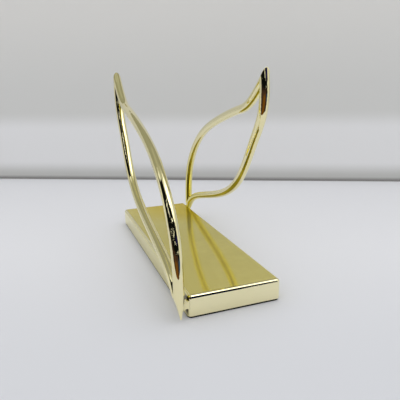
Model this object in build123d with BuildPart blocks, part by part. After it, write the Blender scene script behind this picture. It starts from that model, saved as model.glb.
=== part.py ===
from build123d import *
import math
import os

# Table number holder: a flat weighted base with a wire leaf welded to each of two opposite corners.
# Millimetres. X runs across the base, Y along it and Z up. The origin is on the table, under the middle
# of the base. The left leaf stands on the -X side. The right leaf is the same leaf, turned half a turn.

# Base cover
base_length = 147.5
base_width = 47.6
cover_height = 10.3
sheet_thickness = 1.2
corner_radius = 2.0
top_edge_radius = 1.8

# Pieces inside and under the cover
ballast_thickness = 8.0
ballast_clearance = 0.3
ballast_corner_chamfer = 1.2
pad_thickness = 0.85
pad_adhesive_thickness = 0.15
pad_inset = 0.4
pad_corner_radius = 2.0
tape_inset = 1.0

# Leaf wires. The stations are points on the centrelines as (Y, Z), from the root up to the tip, and the
# headings are the wires' directions there, in degrees above +Y.
wire_diameter = 5.0
leaf_gap = 1.6
leaf_root = (-73.5, 9.0)
leaf_tip = (45.0, 104.5)
upper_stations = [(-68.5, 41.5), (-46.0, 66.0), (-15.5, 79.5), (16.5, 88.0)]
lower_stations = [(-44.5, 24.0), (-13.0, 32.5), (16.5, 47.5), (35.5, 73.5)]
upper_root_heading = 90.5
upper_tip_heading = 44.0
lower_root_heading = 50.5
lower_tip_heading = 97.5

# Mitres, where a leaf's two wires meet
mitre_overrun = 9.0
mitre_cut_length = 26.0
braze_gap = 0.2
braze_web_thickness = 2.4
braze_web_length = 2.0
braze_web_hollow = 1.0

# Hollows ground into both sides of a leaf's root, which make it a blunt point. The profile has points as
# (distance from the leaf's middle, Z), from the table's level to above where the hollows run out.
grind_profile = [(0.15, 0.0), (1.2, 7.0), (3.2, 13.7)]
grind_length = 14.0

# Weld neck between a leaf's root and the side of the base. It starts in the root, at the leaf middle, and
# goes to the side of the base, at the wall middle, both as (Y, Z). The length (along Y) and the height
# are its full ones, and the hollows are how much it is waisted above, below and at its ends.
weld_leaf_middle = (-74.0, 6.9)
weld_wall_middle = (-71.9, 6.9)
weld_length = 3.4
weld_height = 4.8
weld_top_hollow = 0.7
weld_under_hollow = 1.1
weld_end_hollow = 0.2
weld_bite = 0.5
weld_depth_in_wall = 0.9

# Worked out from the sizes above
wire_radius = wire_diameter / 2
leaf_offset = base_width / 2 + leaf_gap + wire_radius
cover_bottom = pad_thickness + pad_adhesive_thickness
cavity_width = base_width - 2 * sheet_thickness
cavity_length = base_length - 2 * sheet_thickness
tape_thickness = cover_height - sheet_thickness - ballast_thickness
ballast_width = cavity_width - 2 * ballast_clearance
ballast_length = cavity_length - 2 * ballast_clearance
pad_width = base_width - 2 * pad_inset
pad_length = base_length - 2 * pad_inset

os.makedirs("parts", exist_ok=True)


def on_leaf(point):
    """A (Y, Z) point of the left leaf as a point in space."""
    return Vector(-leaf_offset, *point)


def direction(heading):
    """Unit vector along a heading in the leaf's plane."""
    return Vector(0, math.cos(math.radians(heading)), math.sin(math.radians(heading)))


def mitre_plane(point, heading_a, heading_b):
    """The plane that halves the angle between two wires. It stands across the leaf, its local X follows
    the mean heading and its normal points to the upper wire."""
    mean_heading = (heading_a + heading_b) / 2
    return Plane(
        origin=on_leaf(point),
        x_dir=direction(mean_heading),
        z_dir=direction(mean_heading + 90),
    )


root_mitre = mitre_plane(leaf_root, upper_root_heading, lower_root_heading)
tip_mitre = mitre_plane(leaf_tip, upper_tip_heading, lower_tip_heading)


def wire_stock(stations, root_heading, tip_heading):
    """A round wire bent through the stations, and run straight on past the leaf's root and tip."""
    root = on_leaf(leaf_root)
    tip = on_leaf(leaf_tip)
    root_direction = direction(root_heading)
    tip_direction = direction(tip_heading)
    with BuildLine() as bend:
        Line(root - root_direction * mitre_overrun, root)
        Spline(
            root,
            *[on_leaf(station) for station in stations],
            tip,
            tangents=(root_direction, tip_direction),
        )
        Line(tip, tip + tip_direction * mitre_overrun)
    centreline = bend.wire()
    with BuildPart() as stock:
        with BuildSketch(Plane(origin=centreline @ 0, z_dir=centreline % 0)):
            Circle(wire_radius)
        sweep(path=centreline)
    return stock


def mitred(stock, side):
    """The stock cut off at both mitres. Side is 1 for the upper wire and -1 for the lower wire."""
    with BuildPart() as wire:
        add(stock.part)
        for mitre in (root_mitre, tip_mitre):
            with BuildSketch(mitre.offset(side * braze_gap / 2)):
                Rectangle(mitre_cut_length, 2 * wire_diameter)
            extrude(amount=-side * mitre_cut_length / 2, mode=Mode.SUBTRACT)
    return wire


def pointed(piece):
    """The piece with the hollows at the leaf's root ground out."""
    top = grind_profile[-1][1]
    with BuildPart() as ground:
        add(piece.part)
        with BuildSketch(Plane.XZ.offset(-leaf_root[0])):
            for side in (-1, 1):
                profile = [(side * distance - leaf_offset, height) for distance, height in grind_profile]
                outside = side * wire_diameter - leaf_offset
                with BuildLine():
                    ThreePointArc(*profile)
                    Polyline(profile[-1], (outside, top), (outside, 0), profile[0])
                make_face()
        extrude(amount=grind_length, both=True, mode=Mode.SUBTRACT)
    return ground


def braze(mitre, point, inward, half_angle):
    """The braze in one mitre: a thin seam between the wires' ends, and a web with a hollow end in the
    crotch. Inward is the heading from the mitre into the leaf."""
    half_angle = math.radians(half_angle)
    web_end = wire_radius / math.sin(half_angle) + braze_web_length
    half_width = web_end * math.tan(half_angle)
    with BuildPart() as filler:
        add(upper_stock.part)
        with BuildSketch(mitre.offset(-braze_gap / 2)):
            Rectangle(mitre_cut_length, 2 * wire_diameter)
        extrude(amount=braze_gap, mode=Mode.INTERSECT)
        with BuildSketch(Plane(origin=on_leaf(point), x_dir=direction(inward), z_dir=(1, 0, 0))):
            with BuildLine():
                Polyline((web_end, half_width), (0, 0), (web_end, -half_width))
                ThreePointArc(
                    (web_end, -half_width), (web_end - braze_web_hollow, 0), (web_end, half_width)
                )
            make_face()
        extrude(amount=braze_web_thickness / 2, both=True)
        add(upper_wire.part, mode=Mode.SUBTRACT)
        add(lower_wire.part, mode=Mode.SUBTRACT)
    return filler


def waisted(leaf_middle, wall_middle, half_size, upper_hollow, lower_hollow):
    """Closed outline from a leaf's root to the side of the base, hollowed at its upper and lower sides."""
    leaf_end = weld_bite - leaf_offset
    wall_end = weld_depth_in_wall - base_width / 2
    waist = (leaf_end + wall_end) / 2
    middle = (leaf_middle + wall_middle) / 2
    leaf_top = (leaf_end, leaf_middle + half_size)
    wall_top = (wall_end, wall_middle + half_size)
    wall_foot = (wall_end, wall_middle - half_size)
    leaf_foot = (leaf_end, leaf_middle - half_size)
    ThreePointArc(leaf_top, (waist, middle + half_size - upper_hollow), wall_top)
    Line(wall_top, wall_foot)
    ThreePointArc(wall_foot, (waist, middle - half_size + lower_hollow), leaf_foot)
    Line(leaf_foot, leaf_top)


def half_turned(piece):
    """The same piece on the opposite corner of the base."""
    with BuildPart() as turned:
        add(piece.part, rotation=(0, 0, 180))
    return turned


# Base cover: a pressed steel tray, open underneath.
with BuildPart() as base_cover:
    with BuildSketch(Plane.XY.offset(cover_bottom)):
        RectangleRounded(base_width, base_length, corner_radius)
    extrude(amount=cover_height)
    fillet(base_cover.faces().sort_by(Axis.Z)[-1].edges(), top_edge_radius)
    offset(
        amount=-sheet_thickness,
        openings=base_cover.faces().sort_by(Axis.Z)[0],
        mode=Mode.REPLACE,
    )

# Ballast: a steel flat bar that fills the cover from the rim up to the tape.
with BuildPart() as ballast_plate:
    with BuildSketch(Plane.XY.offset(cover_bottom)):
        Rectangle(ballast_width, ballast_length)
    extrude(amount=ballast_thickness)
    chamfer(ballast_plate.edges().filter_by(Axis.Z), ballast_corner_chamfer)

# Foam tape between the ballast and the underside of the cover's top.
with BuildPart() as ballast_tape:
    with BuildSketch(Plane.XY.offset(cover_bottom + ballast_thickness)):
        RectangleRounded(
            ballast_width - 2 * tape_inset,
            ballast_length - 2 * tape_inset,
            pad_corner_radius,
        )
    extrude(amount=tape_thickness)

# Adhesive film and pad: the same outline, one on the other.
with BuildPart() as pad_adhesive:
    with BuildSketch(Plane.XY.offset(pad_thickness)):
        RectangleRounded(pad_width, pad_length, pad_corner_radius)
    extrude(amount=pad_adhesive_thickness)

with BuildPart() as anti_slip_pad:
    with BuildSketch():
        RectangleRounded(pad_width, pad_length, pad_corner_radius)
    extrude(amount=pad_thickness)

# Leaf: two wires, brazed together in the mitres at the root and the tip.
upper_stock = wire_stock(upper_stations, upper_root_heading, upper_tip_heading)
lower_stock = wire_stock(lower_stations, lower_root_heading, lower_tip_heading)
upper_wire = pointed(mitred(upper_stock, 1))
lower_wire = pointed(mitred(lower_stock, -1))
root_braze = pointed(
    braze(
        root_mitre,
        leaf_root,
        (upper_root_heading + lower_root_heading) / 2,
        (upper_root_heading - lower_root_heading) / 2,
    )
)
tip_braze = braze(
    tip_mitre,
    leaf_tip,
    (upper_tip_heading + lower_tip_heading) / 2 + 180,
    (lower_tip_heading - upper_tip_heading) / 2,
)

# Weld neck from the leaf's root to the side of the base, close to the corner. Both outlines, from the
# front and from above, are waisted in the gap.
with BuildPart() as corner_weld:
    with BuildSketch(Plane.XZ.offset(-weld_wall_middle[0])):
        with BuildLine():
            waisted(
                weld_leaf_middle[1],
                weld_wall_middle[1],
                weld_height / 2,
                weld_top_hollow,
                weld_under_hollow,
            )
        make_face()
    extrude(amount=2 * weld_length, both=True)
    with BuildSketch(Plane.XY.offset(weld_wall_middle[1])):
        with BuildLine():
            waisted(
                weld_leaf_middle[0],
                weld_wall_middle[0],
                weld_length / 2,
                weld_end_hollow,
                weld_end_hollow,
            )
        make_face()
    extrude(amount=weld_height, both=True, mode=Mode.INTERSECT)
    for neighbour in (base_cover, upper_wire, lower_wire, root_braze):
        add(neighbour.part, mode=Mode.SUBTRACT)

base_cover.part.label = "base_cover"
export_step(base_cover.part, "parts/base_cover.step")

ballast_plate.part.label = "ballast_plate"
export_step(ballast_plate.part, "parts/ballast_plate.step")

ballast_tape.part.label = "ballast_tape"
export_step(ballast_tape.part, "parts/ballast_tape.step")

pad_adhesive.part.label = "pad_adhesive"
export_step(pad_adhesive.part, "parts/pad_adhesive.step")

anti_slip_pad.part.label = "anti_slip_pad"
export_step(anti_slip_pad.part, "parts/anti_slip_pad.step")

leaf_pieces = {
    "leaf_upper_wire": upper_wire,
    "leaf_lower_wire": lower_wire,
    "leaf_root_braze": root_braze,
    "leaf_tip_braze": tip_braze,
    "corner_weld": corner_weld,
}
for name, piece in leaf_pieces.items():
    for side, placed in (("left", piece), ("right", half_turned(piece))):
        placed.part.label = f"{side}_{name}"
        export_step(placed.part, f"parts/{side}_{name}.step")
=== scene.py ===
import math

import bpy
from mathutils import Matrix, Vector


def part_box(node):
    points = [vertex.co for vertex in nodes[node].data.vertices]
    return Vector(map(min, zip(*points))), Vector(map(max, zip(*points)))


# Looks for the table number holder: plated wire leaves on a flat weighted base. Metres, Z up. The base
# lies along Y, and the camera looks along it from the near end, turned a little towards +X.

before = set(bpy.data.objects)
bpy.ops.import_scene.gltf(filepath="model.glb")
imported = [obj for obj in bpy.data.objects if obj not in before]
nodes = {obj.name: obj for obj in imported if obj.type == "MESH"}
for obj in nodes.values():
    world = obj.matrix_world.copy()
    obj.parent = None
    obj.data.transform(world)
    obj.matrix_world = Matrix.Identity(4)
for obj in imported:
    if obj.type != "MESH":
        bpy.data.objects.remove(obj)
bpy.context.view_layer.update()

# Camera
camera_place = Vector((-0.0777, -0.2361, 0.1031))
camera_heading = math.radians(20.4)
camera_tilt = math.radians(15.45)
camera_roll = math.radians(-0.84)
camera_lens = 38.3
sensor_width = 36.0
nearest_seen = 0.01

# Directions: level and away from the camera, level and to its right, and straight up
ahead = Vector((math.sin(camera_heading), math.cos(camera_heading), 0.0))
aside = Vector((ahead.y, -ahead.x, 0.0))
overhead = Vector((0.0, 0.0, 1.0))

# Stage, with distances from the point under the camera
floor_front = 0.105
floor_behind = 0.9
floor_beyond = 1.6
wall_distance = 0.455
wall_turn = math.radians(-5.6)
wall_height = 0.26
stage_half_width = 1.1

# Light over the table
light_place = Vector((0.05, -0.05, 0.75))
light_length = 0.5
light_width = 0.35
light_power = 0.5

# Painted shade in the gap at the left weld, and a painted reflection of the wire on the base top near the
# right weld: how far from a weld's middle each is full, and where it has ended
gap_shade_full = 0.0035
gap_shade_end = 0.0075
wire_reflection_full = 0.020
wire_reflection_end = 0.060

# Surface relief, as the height of its bumps
wave_height = 0.00003
grain_height = 0.000002
hairline_height = 0.000001
foam_cell_height = 0.00015
mottle_height = 0.00005
streak_height = 0.00004

# Colours, linear
# Painted shade for the gap between the leaves and the base at the left weld
gap_shade_colour = (0.05, 0.04, 0.02)
plain_light = (0.91, 0.915, 0.935)
plain_backdrop = (0.60, 0.60, 0.59)


class Shader:
    """A small builder for node trees. An input is a number, a colour, a vector or a node's output."""

    def __init__(self, tree):
        self.tree = tree
        self.tree.nodes.clear()

    def node(self, kind, inputs=None, **settings):
        made = self.tree.nodes.new(kind)
        for name, value in settings.items():
            setattr(made, name, value)
        for name, value in (inputs or {}).items():
            self.put(made.inputs[name], value)
        return made

    def put(self, socket, value):
        if isinstance(value, bpy.types.NodeSocket):
            self.tree.links.new(value, socket)
        elif isinstance(value, tuple) and len(value) == 3 and len(socket.default_value) == 4:
            socket.default_value = (*value, 1.0)
        else:
            socket.default_value = value

    def math(self, operation, a, b=0.0, c=0.0):
        return self.node("ShaderNodeMath", {0: a, 1: b, 2: c}, operation=operation).outputs[0]

    def product(self, first, *others):
        for other in others:
            first = self.math("MULTIPLY", first, other)
        return first

    def dot(self, a, b):
        made = self.node("ShaderNodeVectorMath", {0: a, 1: b}, operation="DOT_PRODUCT")
        return made.outputs["Value"]

    def ramp(self, value, low, high, start=0.0, end=1.0, smooth=True):
        """Value mapped from low..high to start..end, held at both ends."""
        kind = "SMOOTHSTEP" if smooth else "LINEAR"
        inputs = {"Value": value, "From Min": low, "From Max": high, "To Min": start, "To Max": end}
        return self.node("ShaderNodeMapRange", inputs, interpolation_type=kind).outputs["Result"]

    def above(self, value, edge, soft):
        """0 where the value is below the edge and 1 where it is above, changing within soft of it."""
        return self.ramp(self.math("DIVIDE", self.math("SUBTRACT", value, edge), soft), -1.0, 1.0)

    def noise(self, place, scale, detail=2.0, roughness=0.5):
        inputs = {"Vector": place, "Scale": scale, "Detail": detail, "Roughness": roughness}
        return self.node("ShaderNodeTexNoise", inputs).outputs["Fac"]

    def stretch(self, place, scale):
        return self.node("ShaderNodeMapping", {"Vector": place, "Scale": scale}).outputs["Vector"]

    def bump(self, height, distance, strength=1.0, normal=None):
        inputs = {"Height": height, "Distance": distance, "Strength": strength}
        if normal is not None:
            inputs["Normal"] = normal
        return self.node("ShaderNodeBump", inputs).outputs["Normal"]

    def mix(self, factor, a, b):
        """Colour a where the factor is 0, and b where it is 1. A mix node's colours are its inputs 6
        and 7 and its output 2."""
        made = self.node("ShaderNodeMix", data_type="RGBA")
        self.put(made.inputs["Factor"], factor)
        self.put(made.inputs[6], a)
        self.put(made.inputs[7], b)
        return made.outputs[2]

    def deepened(self, direct, again):
        """The direct colour, or the other one where the surface is seen in another polished surface."""
        rays = self.node("ShaderNodeLightPath")
        return self.mix(self.ramp(rays.outputs["Glossy Depth"], 0.0, 1.0), direct, again)

    def principled(self, inputs):
        return self.node("ShaderNodeBsdfPrincipled", inputs).outputs[0]

    def blend(self, factor, a, b):
        """Surface a where the factor is 0, and b where it is 1."""
        return self.node("ShaderNodeMixShader", {0: factor, 1: a, 2: b}).outputs[0]

    def finish(self, surface):
        output = self.node("ShaderNodeOutputMaterial")
        self.put(output.inputs["Surface"], surface)


def new_material(name):
    material = bpy.data.materials.new(name)
    material.use_nodes = True
    shader = Shader(material.node_tree)
    place = shader.node("ShaderNodeTexCoord").outputs["Object"]
    return material, shader, place


def near_node(shader, place, name, full, end):
    """1 within the full distance from a node's middle, and less and less out to the end distance."""
    low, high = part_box(name)
    middle = tuple((Vector(low) + Vector(high)) / 2)
    away = shader.node("ShaderNodeVectorMath", {0: place, 1: middle}, operation="DISTANCE")
    return shader.ramp(away.outputs["Value"], full, end, 1.0, 0.0)


def weld_gap_shade(shader, place, mask):
    """How strongly painted shade darkens the plating in the gap around the left weld, where the mask
    allows.
    """
    return shader.product(near_node(shader, place, "left_corner_weld", gap_shade_full, gap_shade_end), mask)


def wire_plating():
    """Mirror-polished pale gold plating with faint waves left by polishing and a few duller finger
    marks. Low down at the far end it is a deeper gold, a painted reflection of the gold base top. It is
    also a deeper gold where another polished surface shows it, and around the left weld painted shade
    darkens what faces the base, in the gap between leaf and base."""
    material, shader, place = new_material("wire_plating")
    facing = shader.node("ShaderNodeNewGeometry").outputs["Normal"]
    x, y, z = shader.node("ShaderNodeSeparateXYZ", {"Vector": place}).outputs
    waves = shader.noise(place, 140.0, 1.0)
    marks = shader.ramp(shader.noise(place, 55.0, 3.0), 0.52, 0.68)
    tone = shader.noise(place, 30.0, 2.0)
    far = shader.ramp(y, -0.01, 0.06)
    low = shader.ramp(z, 0.015, 0.075, 1.0, 0.0)
    outward = shader.product(shader.dot(facing, (1.0, 0.0, 0.0)), shader.math("SIGN", x))
    # Painted shade in the gap at the left weld, on the wire surfaces that face the base
    gap_shade = weld_gap_shade(shader, place, shader.ramp(outward, -0.75, -0.4, 1.0, 0.0))
    colour = shader.mix(tone, (0.91, 0.84, 0.53), (0.87, 0.80, 0.46))
    # Painted reflection of the gold base top: a deeper gold low down on the far leaf
    colour = shader.mix(shader.product(far, low), colour, (0.80, 0.70, 0.18))
    colour = shader.deepened(colour, (0.97, 0.86, 0.13))
    plating = shader.principled(
        {
            "Base Color": shader.mix(gap_shade, colour, gap_shade_colour),
            "Metallic": 1.0,
            "Roughness": shader.ramp(marks, 0.0, 1.0, 0.01, 0.035),
            "Normal": shader.bump(waves, wave_height, 0.5),
        }
    )
    shader.finish(plating)
    return material


def cover_mirror(shader, place, clouds, flank):
    """The sides and edges of the base: mirror-polished, a little deeper gold on the two long sides, and
    darkened by painted shade, and made rougher, in the gap where the long side meets the left weld."""
    waves = shader.noise(place, 70.0, 1.0)
    # Painted shade in the gap where the long side meets the left weld; it also raises the roughness there
    gap_shade = weld_gap_shade(shader, place, flank)
    polish = shader.ramp(clouds, 0.4, 0.7, 0.015, 0.035)
    colour = shader.mix(clouds, (0.91, 0.85, 0.56), (0.88, 0.82, 0.51))
    colour = shader.mix(flank, colour, (0.88, 0.81, 0.41))
    return shader.principled(
        {
            "Base Color": shader.mix(gap_shade, colour, gap_shade_colour),
            "Metallic": 1.0,
            "Roughness": shader.math("MULTIPLY_ADD", gap_shade, 0.2, polish),
            "Normal": shader.bump(waves, wave_height, 0.5),
        }
    )


def cover_satin(shader, place, clouds):
    """The flat top of the base: a fine satin with grain and hairlines along the base, which shows blurred
    reflections through a wide haze. Near the right weld a deeper gold is a painted reflection of the wire
    above it."""
    grain = shader.noise(shader.stretch(place, (1.0, 0.2, 1.0)), 1600.0, 2.0)
    hairlines = shader.noise(shader.stretch(place, (1.0, 0.02, 1.0)), 1400.0, 2.0)
    hairlines = shader.ramp(hairlines, 0.62, 0.74)
    smudges = shader.ramp(shader.noise(place, 22.0, 5.0, 0.6), 0.45, 0.75)
    normal = shader.bump(grain, grain_height, 0.5)
    normal = shader.bump(hairlines, hairline_height, 0.5, normal)
    # Painted reflection of the wire in the satin near the right weld, as a deeper gold
    deeper = near_node(shader, place, "right_corner_weld", wire_reflection_full, wire_reflection_end)
    colour = shader.mix(clouds, (0.77, 0.68, 0.21), (0.82, 0.74, 0.29))
    colour = shader.mix(deeper, colour, (0.74, 0.58, 0.02))
    haze_colour = shader.mix(hairlines, colour, (0.80, 0.71, 0.32))
    sheen = shader.principled(
        {
            "Base Color": shader.deepened(colour, (0.66, 0.57, 0.07)),
            "Metallic": 1.0,
            "Roughness": shader.ramp(smudges, 0.0, 1.0, 0.07, 0.10),
            "Normal": normal,
        }
    )
    haze = shader.principled(
        {
            "Base Color": shader.deepened(haze_colour, (0.50, 0.43, 0.04)),
            "Metallic": 1.0,
            "Roughness": shader.ramp(clouds, 0.3, 0.7, 0.6, 0.7),
            "Normal": normal,
        }
    )
    return shader.blend(shader.ramp(smudges, 0.0, 1.0, 0.42, 0.48), sheen, haze)


def cover_plating():
    """Pale gold plating on the base: satin on the flat top, and mirror-polished elsewhere."""
    material, shader, place = new_material("cover_plating")
    facing = shader.node("ShaderNodeNewGeometry").outputs["Normal"]
    clouds = shader.noise(place, 45.0, 4.0)
    flat = shader.ramp(shader.dot(facing, overhead), 0.975, 0.998)
    sideways = shader.math("ABSOLUTE", shader.dot(facing, (1.0, 0.0, 0.0)))
    flank = shader.ramp(sideways, 0.6, 0.95)
    mirror = cover_mirror(shader, place, clouds, flank)
    shader.finish(shader.blend(flat, mirror, cover_satin(shader, place, clouds)))
    return material


def pad_foam():
    """Black closed-cell foam rubber with fine cut cells."""
    material, shader, place = new_material("pad_foam")
    cells = shader.node("ShaderNodeTexVoronoi", {"Vector": place, "Scale": 2200.0}).outputs["Distance"]
    dust = shader.ramp(shader.noise(place, 400.0, 4.0), 0.55, 0.8)
    foam = shader.principled(
        {
            "Base Color": shader.mix(dust, (0.002, 0.002, 0.002), (0.006, 0.006, 0.006)),
            "Roughness": shader.ramp(cells, 0.0, 0.6, 0.75, 0.95),
            "Specular IOR Level": 0.1,
            "Normal": shader.bump(cells, foam_cell_height, 0.6),
        }
    )
    shader.finish(foam)
    return material


def tape_film():
    """Off-white adhesive tape with a faintly mottled surface."""
    material, shader, place = new_material("tape_film")
    mottle = shader.noise(place, 300.0, 3.0)
    film = shader.principled(
        {
            "Base Color": shader.mix(mottle, (0.55, 0.55, 0.53), (0.68, 0.68, 0.65)),
            "Roughness": shader.ramp(mottle, 0.3, 0.7, 0.45, 0.65),
            "Normal": shader.bump(mottle, mottle_height, 0.4),
        }
    )
    shader.finish(film)
    return material


def rolled_steel():
    """Hot-rolled flat bar: dark scale with rolling streaks."""
    material, shader, place = new_material("rolled_steel")
    streaks = shader.noise(shader.stretch(place, (1.0, 0.08, 1.0)), 500.0, 4.0)
    scale = shader.noise(place, 90.0, 5.0)
    steel = shader.principled(
        {
            "Base Color": shader.mix(scale, (0.10, 0.10, 0.11), (0.24, 0.23, 0.23)),
            "Metallic": 0.9,
            "Roughness": shader.ramp(streaks, 0.3, 0.7, 0.38, 0.6),
            "Normal": shader.bump(streaks, streak_height, 0.5),
        }
    )
    shader.finish(steel)
    return material


def floor_surface():
    """Matt white table top with faint clouds. Painted shade makes it a little darker near the camera, for
    camera rays only.
    """
    material, shader, place = new_material("floor_surface")
    clouds = shader.noise(place, 6.0, 3.0)
    rays = shader.node("ShaderNodeLightPath")
    # Painted shade: darker near the camera, as the light falls off, seen by camera rays only
    painted_falloff = shader.ramp(shader.dot(place, ahead), -0.15, 0.02, 1.0, 0.0)
    painted_falloff = shader.product(painted_falloff, rays.outputs["Is Camera Ray"])
    white = shader.mix(clouds, (0.79, 0.795, 0.815), (0.81, 0.815, 0.835))
    table_top = shader.principled(
        {
            "Base Color": shader.mix(painted_falloff, white, (0.69, 0.70, 0.725)),
            "Roughness": 0.6,
            "Specular IOR Level": 0.3,
        }
    )
    shader.finish(table_top)
    return material


def wall_surface():
    """Matt wall with painted shading: painted shade as a dark joint where it meets the table and a grey
    foot above it, then a pale band low down, and grey that gets paler towards the top. It is clear from
    behind, so that it never hides the object."""
    material, shader, place = new_material("wall_surface")
    height = shader.node("ShaderNodeSeparateXYZ", {"Vector": place}).outputs["Z"]
    # Painted shading up the wall: shade at the joint with the table and on the foot, then lighter and
    # darker bands
    tone = (0.25, 0.245, 0.235)
    for start, end, next_shading in [
        (0.001, 0.005, (0.52, 0.52, 0.50)),
        (0.005, 0.021, (0.77, 0.77, 0.77)),
        (0.055, 0.075, (0.63, 0.63, 0.61)),
        (0.08, 0.2, (0.70, 0.69, 0.66)),
    ]:
        tone = shader.mix(shader.ramp(height, start, end), tone, next_shading)
    paint = shader.principled({"Base Color": tone, "Roughness": 0.8, "Specular IOR Level": 0.2})
    clear = shader.node("ShaderNodeBsdfTransparent").outputs[0]
    behind = shader.node("ShaderNodeNewGeometry").outputs["Backfacing"]
    shader.finish(shader.blend(behind, paint, clear))
    return material


def stage_plane(name, corners, material):
    mesh = bpy.data.meshes.new(name)
    mesh.from_pydata(corners, [], [(0, 1, 2, 3)])
    mesh.materials.append(material)
    plane = bpy.data.objects.new(name, mesh)
    bpy.context.scene.collection.objects.link(plane)
    return plane


def make_stage():
    """A white table with a low wall across it. The table goes on under the camera and beyond the wall,
    but polished surfaces don't see the part under and behind the camera."""
    ground = Vector((camera_place.x, camera_place.y, 0.0))
    half = aside * stage_half_width
    along = Matrix.Rotation(wall_turn, 3, "Z") @ half
    up = overhead * wall_height
    back = ground - ahead * floor_behind
    front = ground + ahead * floor_front
    foot = ground + ahead * wall_distance
    end = ground + ahead * floor_beyond
    white = floor_surface()
    stage_plane("floor", [front - half, front + half, end + half, end - half], white)
    behind = stage_plane("floor_behind", [back - half, back + half, front + half, front - half], white)
    behind.visible_glossy = False
    stage_plane("wall", [foot - along, foot + along, foot + along + up, foot - along + up], wall_surface())


class Direction:
    """Which way a ray goes, in degrees: azimuth is 0 behind the camera and grows towards its right."""

    def __init__(self, shader):
        self.shader = shader
        self.view = shader.node("ShaderNodeTexCoord").outputs["Generated"]
        turn = shader.math("ARCTAN2", shader.dot(self.view, aside), shader.dot(self.view, -ahead))
        rise = shader.math("ARCSINE", shader.dot(self.view, overhead))
        self.azimuth = shader.math("DEGREES", turn)
        self.elevation = shader.math("DEGREES", rise)

    def patch(self, left, right, low, high, soft=2.0, side_soft=2.0):
        """1 between these azimuths and elevations, with soft edges below and above and at the sides."""
        above = self.shader.above
        return self.shader.product(
            above(self.azimuth, left, side_soft),
            above(right, self.azimuth, side_soft),
            above(self.elevation, low, soft),
            above(high, self.elevation, soft),
        )


def walls_and_ceiling(shader, way, cloud):
    """Pale walls with a bright part on each side of the camera and a lamp high on the right, and grey in
    front of the camera and overhead. Azimuths run together overhead, so the upright edges get softer
    towards it."""
    side_soft = shader.ramp(way.elevation, 62.0, 84.0, 5.0, 60.0)
    from_middle = shader.math("ABSOLUTE", shader.math("SUBTRACT", way.azimuth, 12.0))
    in_front = shader.product(
        shader.above(from_middle, 100.0, side_soft), shader.above(way.elevation, 20.0, 8.0)
    )
    high_left = shader.product(
        shader.above(-48.0, way.azimuth, side_soft), shader.above(way.elevation, 62.0, 4.0)
    )
    high_up = shader.math("MAXIMUM", shader.above(way.elevation, 80.0, 4.0), high_left)
    bright_right = way.patch(28.0, 98.0, 34.0, 80.0, 7.0, side_soft)
    bright_left = way.patch(-80.0, -58.0, 4.0, 66.0, 5.0, 5.0)
    lamp = way.patch(44.0, 62.0, 58.0, 74.0, 3.0, 3.0)
    pale = shader.mix(cloud, (0.92, 0.92, 0.90), (0.74, 0.74, 0.72))
    grey = shader.mix(cloud, (0.40, 0.40, 0.34), (0.26, 0.26, 0.19))
    seen = shader.mix(in_front, pale, grey)
    seen = shader.mix(bright_right, seen, (1.9, 1.9, 1.85))
    seen = shader.mix(bright_left, seen, (1.05, 1.05, 1.03))
    seen = shader.mix(high_up, seen, (0.43, 0.43, 0.35))
    return shader.mix(lamp, seen, (5.0, 5.0, 5.0))


def dark_side(shader, way):
    """1 behind the camera, up to the height of a person leaning over the table. It narrows upwards."""
    rise = shader.ramp(way.elevation, 30.0, 70.0, smooth=False)
    left_edge = shader.math("MULTIPLY_ADD", rise, 32.0, -92.0)
    right_edge = shader.math("MULTIPLY_ADD", rise, -36.0, 66.0)
    top_edge = shader.math("MULTIPLY_ADD", way.azimuth, -0.16, 62.5)
    return shader.product(
        shader.above(way.azimuth, left_edge, 4.0),
        shader.above(right_edge, way.azimuth, 3.0),
        shader.above(top_edge, way.elevation, 1.5),
    )


def dark_things(shader, way, cloud):
    """What the dark side shows: nearly black, with brown and blue things low down, two strip lights
    high up, and white flecks."""
    brown = (0.055, 0.030, 0.022)
    rust = (0.16, 0.065, 0.010)
    blue = (0.02, 0.08, 0.24)
    violet = (0.012, 0.010, 0.08)
    left_strip = way.patch(-52.0, -24.0, 38.5, 43.0, 1.0, 1.0)
    right_strip = way.patch(6.0, 24.0, 42.0, 45.0, 1.0, 1.0)
    flecks = shader.ramp(shader.noise(way.view, 7.0, 2.0, 0.5), 0.66, 0.67)
    flecks = shader.product(flecks, way.patch(-60.0, 60.0, 2.0, 56.0, 3.0, 3.0))
    things = shader.mix(cloud, (0.001, 0.001, 0.001), (0.008, 0.009, 0.007))
    things = shader.mix(way.patch(-92.0, 32.0, -40.0, 1.0, 4.0, 4.0), things, brown)
    things = shader.mix(way.patch(-32.0, 12.0, -40.0, -6.0, 4.0, 4.0), things, rust)
    things = shader.mix(way.patch(34.0, 90.0, -15.0, -4.0), things, blue)
    things = shader.mix(way.patch(24.0, 60.0, 12.0, 20.0), things, violet)
    things = shader.mix(left_strip, things, (0.9, 0.9, 1.0))
    things = shader.mix(right_strip, things, (1.6, 1.6, 1.6))
    return shader.mix(flecks, things, (2.0, 2.0, 2.0))


def room_seen(shader):
    """The room as polished metal shows it."""
    way = Direction(shader)
    cloud = shader.noise(way.view, 4.0, 3.0)
    seen = walls_and_ceiling(shader, way, cloud)
    return shader.mix(dark_side(shader, way), seen, dark_things(shader, way, cloud))


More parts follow.
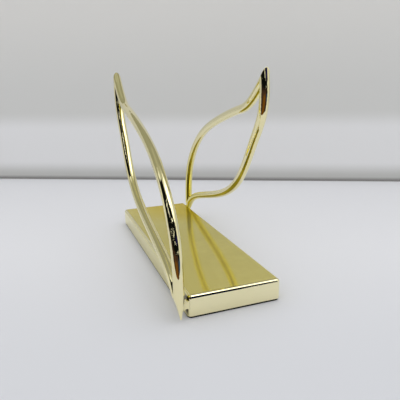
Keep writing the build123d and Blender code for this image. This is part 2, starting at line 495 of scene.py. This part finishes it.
def make_world():
    """Plain soft light, except that reflections see a room."""
    world = bpy.data.worlds.new("room")
    world.use_nodes = True
    bpy.context.scene.world = world
    shader = Shader(world.node_tree)
    rays = shader.node("ShaderNodeLightPath")
    colour = shader.mix(rays.outputs["Is Camera Ray"], plain_light, plain_backdrop)
    colour = shader.mix(rays.outputs["Is Glossy Ray"], colour, room_seen(shader))
    background = shader.node("ShaderNodeBackground", {"Color": colour, "Strength": 1.0})
    shader.node("ShaderNodeOutputWorld", {"Surface": background.outputs[0]})


def make_light():
    """One soft light over the table. Polished surfaces don't show it: they see the room."""
    data = bpy.data.lights.new("ceiling_light", "AREA")
    data.shape = "RECTANGLE"
    data.size = light_length
    data.size_y = light_width
    data.energy = light_power
    light = bpy.data.objects.new("ceiling_light", data)
    light.location = light_place
    light.rotation_euler = (-light_place).to_track_quat("-Z", "Y").to_euler()
    light.visible_glossy = False
    bpy.context.scene.collection.objects.link(light)


def make_camera():
    """The camera looks ahead, tilted down and rolled a little."""
    sight = ahead * math.cos(camera_tilt) - overhead * math.sin(camera_tilt)
    level_up = aside.cross(sight)
    right = aside * math.cos(camera_roll) + level_up * math.sin(camera_roll)
    up = level_up * math.cos(camera_roll) - aside * math.sin(camera_roll)
    data = bpy.data.cameras.new("camera")
    data.lens = camera_lens
    data.sensor_width = sensor_width
    data.clip_start = nearest_seen
    camera = bpy.data.objects.new("camera", data)
    turn = Matrix((right, up, -sight)).transposed().to_4x4()
    camera.matrix_world = Matrix.Translation(camera_place) @ turn
    bpy.context.scene.collection.objects.link(camera)
    bpy.context.scene.camera = camera


def dress(names, material):
    for name in names:
        nodes[name].data.materials.clear()
        nodes[name].data.materials.append(material)


dress([name for name in nodes if "leaf" in name or "weld" in name], wire_plating())
dress(["base_cover"], cover_plating())
dress(["anti_slip_pad"], pad_foam())
dress(["pad_adhesive", "ballast_tape"], tape_film())
dress(["ballast_plate"], rolled_steel())

make_stage()
make_world()
make_light()
make_camera()
bpy.context.scene.view_settings.view_transform = "Standard"
